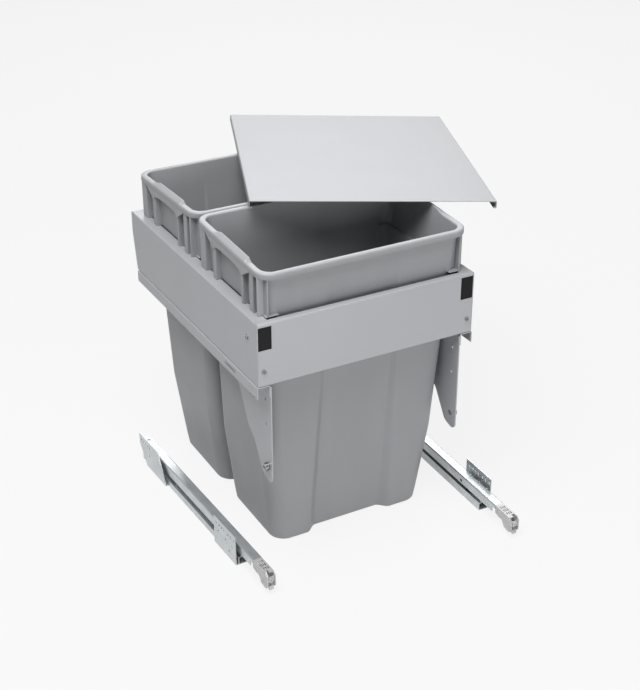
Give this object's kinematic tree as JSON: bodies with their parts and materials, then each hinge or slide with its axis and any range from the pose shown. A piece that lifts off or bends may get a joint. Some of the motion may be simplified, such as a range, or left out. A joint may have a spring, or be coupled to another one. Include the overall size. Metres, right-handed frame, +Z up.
{
  "type": "pull out trash cabinet",
  "caption": "Pull out waste unit: a sheet steel frame with grey bins, a loose sheet lid and a pair of concealed full extension runners.",
  "frame": {"origin": "middle of the front bin's base, on the floor", "axes": "+X to the unit's right seen from its front, +Y to the rear, +Z up"},
  "size_m": [0.6681, 0.7468, 0.5406],
  "materials": {
    "frame_lacquer": "satin silver lacquer",
    "lid_lacquer": "satin light silver lacquer",
    "bin_plastic": "fine moulded grain",
    "zinc_sheet": "zinc plated",
    "zinc_hardware": "bright zinc plated",
    "die_cast": "die cast, tumbled",
    "black_plastic": "moulded",
    "roller_plastic": "smooth"
  },
  "bodies": {
    "frame": {"side_panel_left": "frame_lacquer", "side_panel_right": "frame_lacquer", "front_panel": "frame_lacquer", "rear_rail": "frame_lacquer", "corner_block_front_left": "black_plastic", "corner_block_front_right": "black_plastic", "corner_block_rear_left": "black_plastic", "corner_block_rear_right": "black_plastic", "frame_screws": "zinc_hardware", "runner_channel_left": "frame_lacquer", "runner_channel_right": "frame_lacquer", "door_bracket_left": "frame_lacquer", "door_bracket_right": "frame_lacquer", "bracket_rivets": "zinc_hardware", "cabinet_member_left": "zinc_sheet", "damper_housing_left": "black_plastic", "cabinet_member_right": "zinc_sheet", "damper_housing_right": "black_plastic"},
    "front_bin": {"front_bin": "bin_plastic"},
    "rear_bin": {"rear_bin": "bin_plastic"},
    "lid": {"lid": "lid_lacquer"},
    "door_cam_left": {"door_cam_left": "zinc_hardware"},
    "door_cam_right": {"door_cam_right": "zinc_hardware"},
    "middle_left": {"middle_member_left": "zinc_sheet"},
    "drawer_left": {"drawer_member_left": "zinc_sheet", "coupling_body_left": "die_cast"},
    "lower_carriage_left": {"lower_carriage_left": "black_plastic", "lower_rollers_left": "roller_plastic"},
    "upper_carriage_left": {"upper_carriage_left": "black_plastic", "upper_rollers_left": "roller_plastic"},
    "closing_catch_left": {"closing_catch_left": "black_plastic"},
    "release_lever_left": {"release_lever_left": "die_cast"},
    "adjust_wheel_left": {"adjust_wheel_left": "die_cast"},
    "middle_right": {"middle_member_right": "zinc_sheet"},
    "drawer_right": {"drawer_member_right": "zinc_sheet", "coupling_body_right": "die_cast"},
    "lower_carriage_right": {"lower_carriage_right": "black_plastic", "lower_rollers_right": "roller_plastic"},
    "upper_carriage_right": {"upper_carriage_right": "black_plastic", "upper_rollers_right": "roller_plastic"},
    "closing_catch_right": {"closing_catch_right": "black_plastic"},
    "release_lever_right": {"release_lever_right": "die_cast"},
    "adjust_wheel_right": {"adjust_wheel_right": "die_cast"}
  },
  "joints": [
    {"name": "front_bin_lift", "type": "slide", "parent": "frame", "child": "front_bin", "axis": [0, 0, 1], "range_m": [0, 0.456]},
    {"name": "rear_bin_lift", "type": "slide", "parent": "frame", "child": "rear_bin", "axis": [0, 0, 1], "range_m": [0, 0.456]},
    {"name": "lid_lift", "type": "slide", "parent": "frame", "child": "lid", "axis": [0, 0, 1], "range_m": [0, 0.6]},
    {"name": "middle_slide_left", "type": "slide", "parent": "frame", "child": "middle_left", "axis": [0.0384, -0.9993, 0], "range_m": [0, 0.225]},
    {"name": "drawer_slide_left", "type": "slide", "parent": "middle_left", "child": "drawer_left", "axis": [0.0384, -0.9993, 0], "range_m": [0, 0.225]},
    {"name": "lower_carriage_slide_left", "type": "slide", "parent": "frame", "child": "lower_carriage_left", "axis": [0.0384, -0.9993, 0], "range_m": [0, 0.1125]},
    {"name": "upper_carriage_slide_left", "type": "slide", "parent": "middle_left", "child": "upper_carriage_left", "axis": [0.0384, -0.9993, 0], "range_m": [0, 0.1125]},
    {"name": "closing_catch_slide_left", "type": "slide", "parent": "frame", "child": "closing_catch_left", "axis": [0.0384, -0.9993, 0], "range_m": [0, 0.04], "stiffness_N_per_m": 20},
    {"name": "release_lever_hinge_left", "type": "hinge", "parent": "drawer_left", "child": "release_lever_left", "pos_m": [-0.20495, -0.16017, 0.0273], "axis": [-0.9993, -0.0384, 0], "range_deg": [0, 8], "stiffness_Nm_per_rad": 0.02},
    {"name": "adjust_wheel_turn_left", "type": "hinge", "parent": "drawer_left", "child": "adjust_wheel_left", "pos_m": [-0.20346, -0.19894, 0.02674], "axis": [-0.0384, 0.9993, 0], "range_deg": [-90, 90]},
    {"name": "door_cam_turn_left", "type": "hinge", "parent": "frame", "child": "door_cam_left", "pos_m": [-0.17, -0.12864, 0.18554], "axis": [1, 0, 0], "range_deg": [-90, 90]},
    {"name": "middle_slide_right", "type": "slide", "parent": "frame", "child": "middle_right", "axis": [-0.0157, -0.9999, 0], "range_m": [0, 0.225]},
    {"name": "drawer_slide_right", "type": "slide", "parent": "middle_right", "child": "drawer_right", "axis": [-0.0157, -0.9999, 0], "range_m": [0, 0.225]},
    {"name": "lower_carriage_slide_right", "type": "slide", "parent": "frame", "child": "lower_carriage_right", "axis": [-0.0157, -0.9999, 0], "range_m": [0, 0.1125]},
    {"name": "upper_carriage_slide_right", "type": "slide", "parent": "middle_right", "child": "upper_carriage_right", "axis": [-0.0157, -0.9999, 0], "range_m": [0, 0.1125]},
    {"name": "closing_catch_slide_right", "type": "slide", "parent": "frame", "child": "closing_catch_right", "axis": [-0.0157, -0.9999, 0], "range_m": [0, 0.04], "stiffness_N_per_m": 20},
    {"name": "release_lever_hinge_right", "type": "hinge", "parent": "drawer_right", "child": "release_lever_right", "pos_m": [0.21206, -0.22048, 0.0273], "axis": [-0.9999, 0.0157, 0], "range_deg": [0, 8], "stiffness_Nm_per_rad": 0.02},
    {"name": "adjust_wheel_turn_right", "type": "hinge", "parent": "drawer_right", "child": "adjust_wheel_right", "pos_m": [0.21145, -0.25927, 0.02674], "axis": [0.0157, 0.9999, 0], "range_deg": [-90, 90]},
    {"name": "door_cam_turn_right", "type": "hinge", "parent": "frame", "child": "door_cam_right", "pos_m": [0.164, -0.12864, 0.18554], "axis": [1, 0, 0], "range_deg": [-90, 90]}
  ],
  "couplings": [
    {"joint": "front_bin_lift", "follows": "lid_lift", "ratio": 0.76},
    {"joint": "rear_bin_lift", "follows": "lid_lift", "ratio": 0.76},
    {"joint": "drawer_slide_left", "follows": "middle_slide_left", "ratio": 1},
    {"joint": "lower_carriage_slide_left", "follows": "middle_slide_left", "ratio": 0.5},
    {"joint": "upper_carriage_slide_left", "follows": "middle_slide_left", "ratio": 0.5},
    {"joint": "drawer_slide_right", "follows": "middle_slide_right", "ratio": 1},
    {"joint": "lower_carriage_slide_right", "follows": "middle_slide_right", "ratio": 0.5},
    {"joint": "upper_carriage_slide_right", "follows": "middle_slide_right", "ratio": 0.5}
  ]
}
